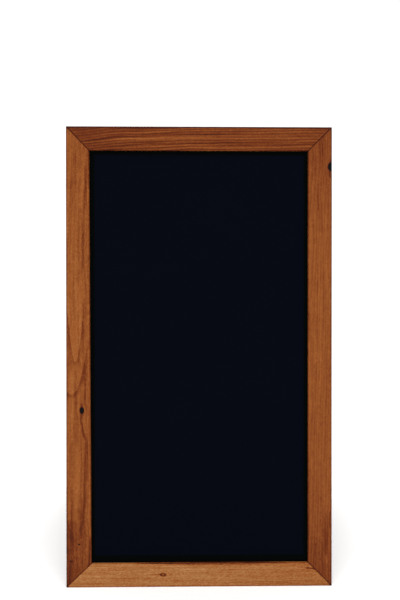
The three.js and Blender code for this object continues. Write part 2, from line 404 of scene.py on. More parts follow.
def clouds(place, lengths, detail=2.0, roughness=0.5, seed=0):
    """Noise about zero whose features are as long as given along each axis. It seldom passes 0.5."""
    scaled = grow(place.tree, "ShaderNodeMapping", {
        "Vector": place,
        "Location": [seed * stride for stride in SEED_STRIDES],
        "Scale": [1 / length for length in lengths],
    })
    value = grow(place.tree, "ShaderNodeTexNoise", {
        "Vector": scaled, "Scale": 1.0, "Detail": detail, "Roughness": roughness,
    })
    return value * 2.0 - 1.0


def mixed(factor, first, second):
    """The first colour where the factor is 0, and the second where it is 1."""
    colours = {MIX_FACTOR: factor, MIX_FIRST: first, MIX_SECOND: second}
    return grow(factor.tree, "ShaderNodeMix", colours, output=MIX_RESULT, data_type="RGBA")


class Finish:
    """A new material: its shader, and its place in millimetres in the frame that a matrix gives."""

    def __init__(self, name, specular, metallic=0.0, matrix=Matrix()):
        self.material = bpy.data.materials.new(name)
        self.material.use_nodes = True
        self.tree = self.material.node_tree
        self.shader = self.tree.nodes["Principled BSDF"]
        self.shader.inputs["Specular IOR Level"].default_value = specular
        self.shader.inputs["Metallic"].default_value = metallic
        easel = grow(self.tree, "ShaderNodeTexCoord", {}, output="Object")
        local = matrix.inverted()
        self.place = grow(self.tree, "ShaderNodeMapping", {
            "Vector": easel,
            "Location": local.translation / MM,
            "Rotation": local.to_euler(),
            "Scale": [1 / MM] * 3,
        })
        self.x, self.y, self.z = (
            grow(self.tree, "ShaderNodeSeparateXYZ", {0: self.place}, output=axis) for axis in range(3))

    def surface(self, colour, roughness, height, depth):
        """Sets colour, roughness and relief. The height is in millimetres, and its depth a share of it."""
        bump = grow(self.tree, "ShaderNodeBump", {"Height": height, "Distance": MM, "Strength": depth})
        for name, field in (("Base Color", colour), ("Roughness", roughness), ("Normal", bump)):
            self.tree.links.new(field.socket, self.shader.inputs[name])
        return self.material


# ---------------------------------------------------------------- wood

STAIN = [(at, linear(*colour)) for at, colour in (
    (0.0, (60, 19, 5)),
    (0.25, (100, 42, 10)),
    (0.5, (141, 79, 33)),
    (0.7, (157, 104, 58)),
    (1.0, (190, 138, 92)),
)]
KNOT_BLACK = linear(4, 3, 3)
INSET_SPAN = 100  # mm, more than the inset of any trail and the drift of any grain


def trail(along, across, points, width):
    """A soft line of grain through places given as distance along and inset: 1 on it, and 0 beside it."""
    line = course(along, points, INSET_SPAN)
    start, end = points[0][0], points[-1][0]
    ease = (end - start) / 6
    ends = fade(along, start, start + ease) * fade(along, end, end - ease)
    return fade(abs(across - line), width, 0.0) * ends


def tongue(along, across, tip, reach, spread, power):
    """The distance in mm outside a tongue of grain, and the distance from its tip towards its open end."""
    outwards = (along - tip[0]) * math.copysign(1, reach)
    share = abs(across - tip[1]) / spread
    level = share ** power * abs(reach) - outwards
    slope = share ** (power - 1) * (power * abs(reach) / spread)
    return level / (slope * slope + 1).math("SQRT"), outwards


def parted_by_knots(along, inset, across, knots):
    """The grain's place across the stick, parted round its knots, and how much of each point is knot.

    A knot is given by its place, its half length and half width, how dark it is, and how pale its eye is.
    Distances are counted in its own radii.
    """
    core = inset * 0
    for (at, inward), (half_length, half_width), dark, hollow in knots:
        lengthwise = (along - at) / half_length
        sideways = inset - inward
        distance = (lengthwise * lengthwise + (sideways / half_width) ** 2).math("SQRT")
        across = across - sideways * fade(distance, 3.5, 0.6, 0.0, 0.75)
        eye = fade(distance, 0.55, 0.1) * hollow
        core = core.math("MAXIMUM", fade(distance, 1.3, 0.85, 0.0, dark) - eye)
    return across, core


def late_wood(along, depth, across, bands, look):
    """The dark line that ends each year's ring, where the rings run round a pith that the look places."""
    pith = (depth + look["pith_depth"]) ** 2 + (across - look["pith_inset"]) ** 2
    rings = (pith.math("SQRT") + along * look["taper"] + bands * look["jitter"]) / look["ring"]
    year = rings.math("FRACT")
    return fade(year, 0.35, 0.86) * fade(year, 1.0, 0.9)


def marked(tone, along, inset, tongues, trails):
    """The tone with tongues of grain and trails drawn in it.

    A tongue is given by its tip, its reach along the stick, its spread, the power of its curve, its outline
    (its width outside, its width inside and how dark it is) and how dark the wood within it is.
    A trail is given by its points, its breadth and how dark it is. Below 0, dark makes the wood paler.
    """
    for tip, reach, spread, power, (outside, inside, dark), fill in tongues:
        distance, outwards = tongue(along, inset, tip, reach, spread, power)
        within = fade(outwards, abs(reach) * 1.3, abs(reach) * 0.4)
        outline = fade(distance, outside, 0.0) * fade(distance, -inside, 0.0) * dark
        tone = tone - (outline + fade(distance, 0.5, -3.0) * fill) * within
    for points, breadth, dark in trails:
        tone = tone - trail(along, inset, points, breadth) * dark
    return tone


def painted_arris_shade_and_dark_mitres(wood, stick, inset, ragged, look, seed):
    """How much darker the wood is within a few mm of its edges, its mitres and the board's corners. The
    darkening of the arrises is painted shade.
    """
    length = stick.length / MM
    depth_squared = wood.y * wood.y
    outer_arris = (inset * inset + depth_squared).math("SQRT") + ragged * 1.5
    inward = inset * -1 - wood.x * (stick.skew / stick.length * 2) + stick.width / MM
    inner_arris = (inward * inward + depth_squared).math("SQRT") + ragged * 1.5
    from_start, from_end = (
        wood.x * sign - inset * slant + length / 2 for sign, slant in zip((1, -1), stick.slants))
    mitre = from_start.math("MINIMUM", from_end) * math.sqrt(0.5) + ragged * 0.8
    smear = clouds(wood.place, (110, 30, 30), 2, 0.5, seed + 9) * look["smear"]
    corner = (inset * inset + (abs(wood.x) * -1 + length / 2) ** 2).math("SQRT") + ragged * 4
    # Painted shade: the eased outer and inner arrises are darkened where they turn away from the light.
    arris_shade = fade(outer_arris, 4.5, 1) * look["outer_arris"]
    arris_shade = arris_shade + fade(inner_arris - smear, 2.8, 0.6) * look["inner_arris"]
    return arris_shade + fade(mitre, 2, 0.3) * 0.38 + fade(corner, 10, 1) * 0.34


def wood_material(name, stick, matrix, seed, look, tongues=(), knots=(), trails=()):
    """Stained softwood. Its marks are placed along the stick from its start, and in from its outer edge."""
    wood = Finish(name, specular=0.08, matrix=matrix)
    length = stick.length / MM
    along = wood.x + length / 2
    inset = wood.z * -1
    wobbly = inset + clouds(wood.place, (70, 30, 20), 1, seed=seed + 1) * 1.8
    across = wobbly + clouds(wood.place, (240, 60, 40), 1, seed=seed) * look["wander"]
    across = across + course(along, [(at * length, value) for at, value in look["drift"]], INSET_SPAN)
    across, core = parted_by_knots(along, wobbly, across, knots)

    grain = combine(along, wood.y, across)
    fibres = clouds(grain, (look["fibre_length"], 2.2, 2), 2, 0.65, seed + 2)
    bands = clouds(grain, (260, 14, 7), 2, 0.5, seed + 3)
    mottle = clouds(grain, (26, 12, 9), 3, 0.6, seed + 4)
    flecks = clouds(grain, (5, 2.6, 2.4), 2, 0.6, seed + 7)
    pores = fade(clouds(grain, (12, 0.8, 0.6), 1, 0.5, seed + 5), 0.28, 0.5)
    specks = fade(clouds(grain, (3.4, 2.6, 2.6), 1, 0.5, seed + 8), 0.1, 0.45)
    ragged = clouds(wood.place, (22, 3, 3), 2, 0.6, seed + 6)
    late = late_wood(along, wood.y, across, bands, look)

    tone = course(along, [(at * length, value) for at, value in look["tones"]])
    for field, strength in ((fibres, "fibres"), (bands, "bands"), (mottle, "mottle"), (flecks, "flecks")):
        tone = tone + field * look[strength]
    tone = tone + specks * look["specks"] - late * look["rings"] - pores * 0.14 - core * 0.7
    tone = marked(tone, along, wobbly, tongues, trails)
    # Painted shade along the arrises, and darker mitres and corners.
    tone = tone - painted_arris_shade_and_dark_mitres(wood, stick, inset, ragged, look, seed)

    colour = mixed(fade(core, 0.7, 0.9), ramp(tone, STAIN), KNOT_BLACK)
    roughness = fibres * 0.1 + mottle * 0.08 + pores * 0.15 + 0.46
    height = fibres * 0.05 - late * 0.05 - pores * 0.1 + ragged * 0.04
    return wood.surface(colour, roughness, height, 0.9)


# Tones run from 0, dark, to 1, pale. They and the drift of the grain are given at shares of the stick's
# length. Distances are in mm, and the rest says how strongly each layer changes the tone.
# outer_arris and inner_arris say how strongly painted shade darkens those arrises, and smear how ragged the
# inner one's reach is.
DEFAULT_LOOK = {
    "tones": ((0, 0.5), (1, 0.5)), "drift": ((0, 0), (1, 0)), "wander": 7,
    "fibres": 0.1, "fibre_length": 80, "bands": 0.14, "mottle": 0.12, "flecks": 0.14, "specks": 0.09,
    "rings": 0.06, "ring": 5.5, "jitter": 4, "pith_depth": 30, "pith_inset": 18, "taper": 0.02,
    "outer_arris": 0.17, "inner_arris": 0.16, "smear": 1,
}
LOOKS = {
    "top_rail": {
        **DEFAULT_LOOK, "tones": ((0, 0.27), (0.45, 0.35), (1, 0.32)), "rings": 0.15, "ring": 6.6,
        "drift": ((0, 0), (0.25, 12), (0.5, 17), (1, 20)), "fibres": 0.25, "fibre_length": 240,
        "bands": 0.2, "flecks": 0.12, "mottle": 0.06, "wander": 3, "jitter": 2, "pith_depth": 4,
        "pith_inset": 120, "taper": 0, "outer_arris": 0.36,
    },
    "bottom_rail": {
        **DEFAULT_LOOK, "tones": ((0, 0.55), (0.5, 0.66), (1, 0.65)), "ring": 4,
        "fibres": 0.26, "fibre_length": 130, "bands": 0.08, "mottle": 0.06, "flecks": 0.28, "specks": 0.12,
        "wander": 3, "pith_depth": 4, "pith_inset": 140, "taper": 0.01, "inner_arris": 0.36, "smear": 3,
    },
    # The stiles' tones along their length are partly the wood's own and partly painted shade: darker
    # towards the bottom of the left stile and towards both ends of the right one.
    "left_stile": {
        **DEFAULT_LOOK,
        "tones": ((0, 0.27), (0.08, 0.35), (0.25, 0.44), (0.4, 0.43), (0.55, 0.44), (0.8, 0.46), (1, 0.42)),
    },
    "right_stile": {
        **DEFAULT_LOOK, "tones": ((0, 0.33), (0.25, 0.44), (0.75, 0.43), (1, 0.32)), "mottle": 0.09,
        "flecks": 0.1, "specks": 0.05, "fibres": 0.08, "bands": 0.1, "pith_inset": 75,
    },
    "bead": {**DEFAULT_LOOK, "tones": ((0, 0.4), (1, 0.42)), "inner_arris": 0.1, "outer_arris": 0.1},
}

# The larger marks in the grain of the front board, in mm along the member and in from its outer edge.
# marked() and parted_by_knots() say what each one's numbers are.
MARKS = {
    "left_stile": {
        "tongues": (
            ((516, 21), 160, 21, 2.2, (9, 1.5, 0.11), -0.07),
            ((441, 12), 117, 39, 2.1, (10, 2, 0.15), -0.03),
        ),
        "knots": (
            ((406, 35.6), (7.3, 5.0), 1.0, 0.0),
            ((99, 30), (1.8, 1.8), 0.9, 0.0),
            ((60, 11.5), (2.2, 3.2), 0.4, 0.0),
        ),
        "trails": (
            (((335, 43), (363, 37.5), (384, 33.5), (403, 35.5), (430, 35)), 4.4, 0.21),
            (((98, 20), (124, 33), (158, 39), (209, 42.5), (266, 44.5), (330, 45), (372, 37)), 7, 0.17),
            (((80, 24), (104, 18), (122, 10), (160, 2)), 9, 0.08),
            (((70, 9), (160, 12)), 17, 0.09),
            (((170, 24), (260, 27), (345, 24)), 10, -0.06),
            (((400, 47), (425, 42), (445, 44), (520, 47)), 4, 0.11),
            (((690, 36), (820, 40), (950, 46), (1010, 50)), 6, 0.14),
            (((-20, 4), (50, 9), (110, 2)), 11, 0.1),
            (((18, 46), (60, 52), (120, 54)), 3, 0.18),
        ),
    },
    "right_stile": {
        "tongues": (((985, 14), -90, 7, 2.4, (2, 4, 0.06), 0.12),),
        "knots": (((91, 2.6), (9.5, 6.5), 1.0, 0.0),),
        "trails": (
            (((70, 3), (95, 6), (120, 4)), 2.6, 0.3),
            (((30, 24), (68, 22)), 1.8, 0.16),
            (((150, 32), (194, 32)), 1.8, 0.16),
            (((165, 24), (248, 23)), 1.6, 0.14),
            (((260, 34), (400, 34)), 2, 0.1),
            (((880, 4), (925, 5)), 2, 0.22),
            (((955, 37), (990, 39)), 2, 0.16),
        ),
    },
    "bottom_rail": {
        "knots": (((388.5, 28), (6.8, 3.6), 0.68, 0.55),),
        "trails": (
            (((100, 57), (200, 53), (300, 54), (480, 57)), 7, 0.3),
            (((362, 27), (388, 28), (412, 29)), 2.2, 0.16),
            (((36, 40), (62, 42)), 2.2, 0.45),
            (((386, 27), (420, 29)), 1.8, 0.12),
            (((250, 38), (360, 41)), 2.4, -0.12),
            (((330, 47), (400, 46)), 2.4, -0.14),
        ),
    },
    "top_rail": {
        "trails": (
            (((-150, 3), (305, 3), (760, 3)), 4, 0.12),
            (((30, 34), (130, 24), (260, 18), (420, 17)), 3, 0.16),
            (((60, 48), (200, 40), (560, 33)), 3, 0.14),
            (((60, 30), (300, 26), (580, 26)), 4, -0.1),
        ),
    },
}


def arc(centre, radius, start, end, steps):
    """Points on an arc, from one angle in degrees to another."""
    angles = [math.radians(start + (end - start) * i / steps) for i in range(steps + 1)]
    return [(centre[0] + radius * math.cos(a), centre[1] + radius * math.sin(a)) for a in angles]


# ---------------------------------------------------------------- frame members and beads

SKEW = 2.6 * MM  # how much narrower the front left stile is at its top than at its middle
EASE = 1.9 * MM  # the usual radius of a member's edges
EASE_UNEVENNESS = 0.5 * MM
CRISP_EDGE = 0.3 * MM  # the radius of the edges of its rebate
NOTCH = BARREL + 2 * GAP  # how far the room for a hinge's barrel reaches from the hinge axis
MITRE_REACH = 1.3 * STOCK  # how far from a member's end its sections start to lean towards the mitre
MEMBER_STEP = 8 * MM  # between sections
BEAD_STEP = 15 * MM
BRAD_SPACING = 150 * MM
BRAD_INSET = 30 * MM  # from a bead's end to its first brad


class Stick:
    """A length of wood along X, with its outer edge at Z = 0 and its front at Y = 0.

    Its inner edge is at Z = -width at the middle. It is narrower by the skew at its end, and wider by it
    at its start. The slants say how far the start and the end lean in, for each step down from the outer
    edge: 1 is a true mitre, and 0 is cut square.
    """

    def __init__(self, length, width, skew=0.0, slants=(1, 1)):
        self.length = length
        self.width = width
        self.skew = skew
        self.slants = slants

    def rings(self, section, stations, reach):
        """The section at each station, leaning over to the ends' slants within their reach."""
        half = self.length / 2
        rings = []
        for x, choice in stations:
            width = self.width - self.skew * x / half
            slant = self.slants[0 if x < 0 else 1]
            beyond = max(0, abs(x) + reach - half) / reach
            rings.append([
                (x + beyond * up * slant * (1 if x > 0 else -1), depth, up)
                for depth, up in section(width, x, choice)])
        return rings


def member_section(width, x, notched):
    """A member's section: depth from its outer face, and height from its outer edge."""
    ease = EASE + EASE_UNEVENNESS * noise.noise(Vector((x * 40, width, 0)))
    rebate = REBATE - STOCK
    section = arc((ease, -ease), ease, 90, 180, 4)
    section += arc((ease, ease - width), ease, 180, 270, 4)
    section += arc((LIP - CRISP_EDGE, CRISP_EDGE - width), CRISP_EDGE, -90, 0, 1)
    section += [(LIP, rebate)]
    section += arc((THICKNESS - CRISP_EDGE, rebate + CRISP_EDGE), CRISP_EDGE, -90, 0, 1)
    if notched:
        floor, low = -NOTCH - OUTER_FACE, -NOTCH - TOP
        return section + [(THICKNESS, low), (floor, low), (floor, low / 2), (floor, 0)]
    return section + arc((THICKNESS - ease, -ease), ease, 0, 90, 3)


def cut_level(shape, matrix):
    """Planes a shape off level where it would pass below the ground."""
    ground = matrix.inverted()
    bmesh.ops.bisect_plane(
        shape, geom=shape.verts[:] + shape.edges[:] + shape.faces[:], clear_outer=True,
        plane_co=ground.translation, plane_no=ground.to_3x3() @ Vector((0, 0, -1)))
    bmesh.ops.holes_fill(shape, edges=[edge for edge in shape.edges if edge.is_boundary], sides=0)


def evenly(low, high, step):
    """Places from low to high, about a step apart."""
    count = max(1, round((high - low) / step))
    return [low + (high - low) * i / count for i in range(count + 1)]


def member_stations(half, hinges):
    """Where a member's sections go along it, and whether each is notched for the barrel of a hinge."""
    reach = (PIN_HIGH.x - PIN_LOW.x) / 2 + 2 * GAP
    notches = [(at - reach, at + reach) for at in hinges]
    places = evenly(-half, half, MEMBER_STEP)
    stations = [(at, any(low < at < high for low, high in notches)) for at in places]
    for low, high in notches:
        stations += [(low - HAIR, False), (low, True), (high, True), (high + HAIR, False)]
    return sorted(stations)


def add_members(place, seed):
    """The four frame members of a board, mitred at the corners."""
    skew = SKEW if place == "front" else 0
    play = GAP * math.sqrt(0.5)  # each end's half of the gap across a mitre, along the stick
    upper, lower = 1 - skew / STOCK, 1 + skew / STOCK  # the rails' slants where they meet the left stile
    layout = {
        "top_rail": (Stick(WIDTH, STOCK, 0, (upper, 1)), 0, (0, TOP)),
        "bottom_rail": (Stick(WIDTH, STOCK, 0, (1, lower)), 180, (0, BOTTOM)),
        "left_stile": (Stick(HEIGHT, STOCK, skew, (1 / lower, 1 / upper)), -90, (-WIDTH / 2, MIDDLE)),
        "right_stile": (Stick(HEIGHT, STOCK), 90, (WIDTH / 2, MIDDLE)),
    }
    for index, (kind, (stick, turn, (x, z))) in enumerate(layout.items()):
        node = board_node(place, kind, x)
        local = Matrix.Translation((x, OUTER_FACE, z)) @ Matrix.Rotation(math.radians(turn), 4, "Y")
        matrix = BOARD[place] @ local
        hinges = (-HINGE_AT, HINGE_AT) if kind == "top_rail" else ()
        stations = member_stations(stick.length / 2 - play, hinges)
        shape = loft(stick.rings(member_section, stations, MITRE_REACH))
        cut_level(shape, matrix)
        marks = MARKS[kind] if place == "front" else {}
        material = wood_material(node, stick, matrix, seed + index * 11, LOOKS[kind], **marks)
        slot = "pale_stained_wood" if kind == "bottom_rail" else "stained_wood"
        add_piece(f"{node}_wood", finished_mesh(node, shape), matrix, material,
                  f"{place}_board", [node])


def bead_section(width, x, _):
    """A bead's section: square against the frame, with a quarter round towards the opening."""
    depth = SIDE_BEAD_HIGH.y - SIDE_BEAD_LOW.y
    crisp = 0.4 * MM
    round_over = (3.6 + 0.2 * noise.noise(Vector((x * 30, 5, 0)))) * MM
    section = arc((crisp, -crisp), crisp, 90, 180, 2)
    section += arc((crisp, crisp - width), crisp, 180, 270, 2)
    section += arc((depth - round_over, round_over - width), round_over, -90, 0, 6)
    return section + arc((depth - crisp, -crisp), crisp, 0, 90, 2)


def bead_places():
    """Each bead's node name without its board, length, turn, and the middle of its outer edge."""
    across = SIDE_BEAD_HIGH.x
    upper = TOP_BEAD_HIGH.z
    long, short = SIDE_BEAD_HIGH.z - SIDE_BEAD_LOW.z, TOP_BEAD_HIGH.x - TOP_BEAD_LOW.x
    return (
        ("bead_top", short, 0, (0, upper)),
        ("bead_bottom", short, 180, (0, 2 * MIDDLE - upper)),
        ("bead_left", long, -90, (-across, MIDDLE)),
        ("bead_right", long, 90, (across, MIDDLE)),
    )


def add_beads(place, seed):
    """The four beads of a board, and the brads that pin them."""
    width = SIDE_BEAD_HIGH.x - SIDE_BEAD_LOW.x
    depth = SIDE_BEAD_HIGH.y - SIDE_BEAD_LOW.y
    heads = []
    rng = random.Random(seed)
    for index, (kind, length, turn, (x, z)) in enumerate(bead_places()):
        node = board_node(place, kind, x)
        local = Matrix.Translation((x, SIDE_BEAD_LOW.y, z)) @ Matrix.Rotation(math.radians(turn), 4, "Y")
        matrix = BOARD[place] @ local
        stick = Stick(length, width, slants=(0, 0))
        stations = [(at, None) for at in evenly(-length / 2, length / 2, BEAD_STEP)]
        shape = loft(stick.rings(bead_section, stations, width))
        material = wood_material(node, stick, matrix, seed + index * 7, LOOKS["bead"])
        add_piece(f"{node}_wood", finished_mesh(node, shape), matrix, material,
                  f"{place}_board", [node])
        for at in evenly(BRAD_INSET - length / 2, length / 2 - BRAD_INSET, BRAD_SPACING):
            across = -width * rng.uniform(0.38, 0.52)
            tilt = Matrix.Rotation(math.radians(-90 + rng.uniform(-4, 4)), 4, "X")
            spot = Matrix.Translation((at + rng.uniform(-8, 8) * MM, depth, across))
            heads.append(moved(brad(), local @ spot @ tilt))
    brads = finished_mesh(f"{place}_brads", joined(heads))
    add_metal(f"{place}_brads", brads, BOARD[place], "zinc_steel", f"{place}_board", [])


def brad():
    """A small nail driven along -Z, with its domed head just proud of Z = 0."""
    head, shank, length, point = 0.9 * MM, 0.5 * MM, 14 * MM, 1.2 * MM
    outline = [(0, -length), (shank, point - length), (shank, -0.3 * MM)]
    outline += [(head, -0.2 * MM), (head, 0.05 * MM), (head * 0.6, 0.16 * MM), (0, 0.2 * MM)]
    return turned(outline, 12)


# ---------------------------------------------------------------- metal

def metal_material(name, bright, dull, roughness, speck):
    """Metal that has dulled unevenly, with fine scratches and specks."""
    metal = Finish(name, specular=0.5, metallic=1.0)
    tarnish = clouds(metal.place, (9, 9, 9), 4, 0.65, 3)
    scratches = clouds(metal.place, (7, 0.35, 0.35), 2, 0.6, 8)
    specks = fade(clouds(metal.place, (1.3, 1.3, 1.3), 2, 0.6, 12), 0.25, 0.45)
    colour = mixed(fade(tarnish + scratches * 0.4, -0.35, 0.4), linear(*dull), linear(*bright))
    colour = mixed(specks * 0.5, colour, linear(*speck))
    gloss = tarnish * -0.16 + scratches * 0.08 + specks * 0.2 + roughness
    return metal.surface(colour, gloss, scratches * 0.03 - specks * 0.05, 0.8)


METAL = {
    "brass": metal_material("brass", (196, 158, 82), (136, 101, 50), 0.36, (70, 50, 30)),
    "zinc_steel": metal_material("zinc_steel", (182, 185, 189), (132, 136, 142), 0.34, (96, 92, 86)),
}


def add_metal(name, mesh, matrix, metal, body, replaced):
    """Places a metal piece, with the finish of the metal named."""
    return add_piece(name, mesh, matrix, METAL[metal], body, replaced)


# ---------------------------------------------------------------- hinges

SCREW_HEAD = 3.4 * MM  # radius
SCREW_SHANK = 1.6 * MM  # radius, over the thread
SCREW_LENGTH = 16 * MM
SCREW_PITCH = 1.3 * MM  # of its thread
PIN_RADIUS = 1.5 * MM
KNUCKLES = 5
LEAF_FRONT = BACK_FACE + GAP


def leaf_outline(shrink):
    """The plate of a hinge leaf below its knuckles, with rounded lower corners."""
    half, low, high = HINGE_LENGTH / 2 - shrink, LEAF_LOW.z + shrink, -NOTCH - shrink
    radius = 2.5 * MM
    outline = arc((half - radius, low + radius), radius, -90, 0, 5)
    outline += [(half, high), (-half, high)]
    return outline + arc((radius - half, low + radius), radius, 180, 270, 5)


def leaf_plate():
    """The plate of a hinge leaf, with its countersunk holes."""
    front, back, bevel, through = LEAF_FRONT, -GAP, 0.25 * MM, 4 * MM
    outlines = ((front, bevel), (front + bevel, 0), (back - bevel, 0), (back, bevel))
    plate = loft([[(x, depth, z) for x, z in leaf_outline(shrink)] for depth, shrink in outlines])
    head, shank = SCREW_HEAD + GAP, SCREW_SHANK + GAP
    hole = [(0, -through), (shank, -through), (shank, shank - head), (head, 0), (head, MM), (0, MM)]
    holes = joined([moved(turned(hole, 20), matrix) for matrix in screw_matrices()])
    return carved(plate, holes)


def knuckle(low, high):
    """A ring of the barrel from low to high along X, and the part of the leaf that it curls out of."""
    outer, inner, rim = BARREL, PIN_RADIUS + GAP, 0.35 * MM
    outline = [(inner, low), (outer - rim, low), (outer, low + rim)]
    outline += [(outer, high - rim), (outer - rim, high), (inner, high)]
    root = block((low, LEAF_FRONT, -NOTCH - MM), (high, -GAP, 0.6 * MM - BARREL), 0.1 * MM)
    return [moved(turned(outline, 24), ALONG_X), root]


def hinge_leaf(parity):
    """One leaf: its plate, and every second knuckle of the barrel."""
    pitch = (HINGE_LENGTH + GAP) / KNUCKLES
    parts = [leaf_plate()]
    for index in range(parity, KNUCKLES, 2):
        low = (index - KNUCKLES / 2) * pitch + GAP / 2
        parts += knuckle(low, low + pitch - GAP)
    return joined(parts)


def screw_matrices():
    """Where a hinge's screws go, measured from the middle of its axis, with their heads towards +Z."""
    places = []
    for number in range(1, 4):
        low, high = box_in_board(f"hinge_right_front_screw_{number}")
        middle = (low + high) / 2
        spot = Matrix.Translation((middle.x - HINGE_AT, high.y, middle.z))
        places.append(spot @ Matrix.Rotation(math.radians(-90), 4, "X"))
    return places


def thread(radius, core, start, pitch, count):
    """The outline of a thread of so many turns, whose core is a share of its radius."""
    tops = [start + i * pitch for i in range(count)]
    return [point for top in tops for point in ((radius * core, top), (radius, top + pitch / 2))]


def cross_recess():
    """The two slots of a cross recess, which narrow as they go down."""
    half_length, half_width, depth, narrowing = 1.9 * MM, 0.35 * MM, 1.4 * MM, 0.35
    slots = []
    for turn in (0, 90):
        slot = block((-half_length, -half_width, -depth), (half_length, half_width, MM), 0.05 * MM)
        for vertex in slot.verts:
            if vertex.co.z < 0:
                vertex.co.x *= narrowing
        slots.append(moved(slot, Matrix.Rotation(math.radians(turn), 4, "Z")))
    return slots


def screw():
    """A countersunk wood screw driven along -Z, with a cross recess in its head."""
    cone = SCREW_HEAD - SCREW_SHANK
    outline = [(0, 0), (SCREW_HEAD - 0.2 * MM, 0), (SCREW_HEAD, -0.15 * MM), (SCREW_SHANK, -cone)]
    outline += thread(SCREW_SHANK, 0.72, -cone - 1.5 * MM, -SCREW_PITCH, 9)
    body = turned(outline + [(0, -SCREW_LENGTH)], 24)
    for slot in cross_recess():
        body = carved(body, slot)
    return body


def hinge_pin():
    """The pin, with domed heads."""
    half, head = (PIN_HIGH.x - PIN_LOW.x) / 2, (PIN_HIGH.z - PIN_LOW.z) / 2
    dome, thick = 0.9 * MM, 1.6 * MM
    top = [(PIN_RADIUS, half - thick), (head, half - thick), (head, half - dome)]
    top += [(head * 0.85, half - dome * 0.45), (head * 0.5, half - dome * 0.1), (0, half)]
    bottom = [(radius, -height) for radius, height in reversed(top)]
    return moved(turned(bottom + top, 24), ALONG_X)


def add_hinges():
    """Two butt hinges between the top rails."""
    screw_mesh = finished_mesh("screw", screw())
    pin_mesh = finished_mesh("hinge_pin", hinge_pin())
    rng = random.Random(7)
    for parity, place in enumerate(BOARD):
        leaf_mesh = finished_mesh(f"{place}_leaf", hinge_leaf(parity))
        body = f"{place}_board"
        for side in (-1, 1):
            where = standing_name(place, side)
            hinge = BOARD[place] @ Matrix.Translation((side * HINGE_AT, 0, 0))
            node = f"hinge_{where}_{place}"
            add_metal(f"{node}_leaf_plate", leaf_mesh, hinge, "brass", body, [f"{node}_leaf"])
            for number, matrix in enumerate(screw_matrices(), 1):
                twist = Matrix.Rotation(rng.uniform(0, math.pi), 4, "Z")
                driven = f"{node}_screw_{number}"
                add_metal(f"{driven}_cross", screw_mesh, hinge @ matrix @ twist, "brass", body, [driven])
            if place == "front":
                pin = f"hinge_{where}_pin"
                add_metal(f"{pin}_domed", pin_mesh, hinge, "brass", body, [pin])


# ---------------------------------------------------------------- screw eyes and chains

EYE_WIRE = 1 * MM  # radius
EYE_RING = 3.4 * MM  # to the middle of the wire
EYE_PITCH = 1.2 * MM  # of its thread
LINK_WIRE = 0.9 * MM  # radius
LINK_WIDTH = 7.4 * MM
LINK_TWIST = 6  # degrees, at most
LINKS = 27
CHAIN_SAG = 9 * MM


def screw_eye():
    """A ring in the XY plane, with a threaded shank along +X."""
    length = EYE_HIGH.x - EYE_LOW.x - EYE_RING - EYE_WIRE
    outline = [(0, EYE_RING - EYE_WIRE / 2), (EYE_WIRE * 1.15, EYE_RING), (EYE_WIRE, EYE_RING + 1.4 * MM)]
    outline += thread(EYE_WIRE, 0.7, EYE_RING + 4 * MM, EYE_PITCH, 12)
    shank = moved(turned(outline + [(0, length)], 16), ALONG_X)
    circle = arc((0, 0), EYE_RING, 0, 360, 28)[:-1]
    return joined([wire_loop(circle, EYE_WIRE, 12), shank])


def eye_centre(side):
    """The middle of a screw eye's ring on one side, in a board's own frame."""
    middle = (EYE_LOW + EYE_HIGH) / 2
    return Vector((side * (EYE_LOW.x + EYE_WIRE + EYE_RING), middle.y, middle.z))


def add_screw_eyes():
    """One in the inner edge of each stile."""
    mesh = finished_mesh("screw_eye", screw_eye())
    for place, board in BOARD.items():
        for side in (-1, 1):
            turn = 0 if side > 0 else math.pi
            matrix = board @ Matrix.Translation(eye_centre(side)) @ Matrix.Rotation(turn, 4, "Z")
            node = f"{place}_screw_eye_{standing_name(place, side)}"
            add_metal(f"{node}_ring", mesh, matrix, "zinc_steel", f"{place}_board", [node])


def chain_link(pitch):
    """One link in the XY plane, long along Y, with its ends' insides a pitch apart."""
    bend = LINK_WIDTH / 2 - LINK_WIRE
    straight = pitch / 2 + LINK_WIRE - bend
    path = arc((0, straight), bend, 0, 180, 8) + arc((0, -straight), bend, 180, 360, 8)
    return wire_loop(path, LINK_WIRE, 10)


def add_chain(side, rng):
    """Links from the front screw eye to the rear one, sagging."""
    front = BOARD["front"] @ eye_centre(side)
    rear = BOARD["rear"] @ eye_centre(-side)
    hook = EYE_RING - EYE_WIRE + LINK_WIRE * 0.4  # from a ring's middle to where a link hangs on its wire
    span = rear.y - front.y - 2 * hook
    length = span * (1 + 8 / 3 * (CHAIN_SAG / span) ** 2)  # of a shallow curve with that sag
    links = []
    for i in range(LINKS):
        share = 2 * (i + 0.5) / LINKS - 1
        middle = Vector((front.x, share * span / 2, front.z - CHAIN_SAG * (1 - share ** 2)))
        slope = math.atan(4 * CHAIN_SAG * share / span)
        roll = math.radians((90 if i % 2 == 0 else 0) + rng.uniform(-LINK_TWIST, LINK_TWIST))
        turn = Matrix.Rotation(slope, 4, "X") @ Matrix.Rotation(roll, 4, "Y")
        links.append(moved(chain_link(length / LINKS), Matrix.Translation(middle) @ turn))
    name = "chain_right" if side > 0 else "chain_left"
    mesh = finished_mesh(name, joined(links))
    chain = add_metal(f"{name}_links", mesh, Matrix(), "zinc_steel", "front_board", [name])
    fold = Matrix.Rotation(-2 * LEAN, 4, "X")
    closed = Matrix.Translation(PIVOT) @ fold @ Matrix.Translation(-PIVOT) @ rear
    travel = closed - rear
    keep = 1 + travel.length / (rear - front).dot(travel.normalized())
    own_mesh(chain)


# ---------------------------------------------------------------- chalkboards and biscuits

# How far the darker, neutral black band along the frame reaches in from the opening, in mm
SIDE_MARGIN = 10.2
TOP_MARGIN = 10.4
BOTTOM_MARGIN = 17.4
SCREEN_PITCH = 1.8  # mm, of the mesh pattern pressed into the back of hardboard
PANEL_UNEVENNESS = 0.12 * MM
PANEL_GRID = (24, 44)  # faces across and up, so that the unevenness shows


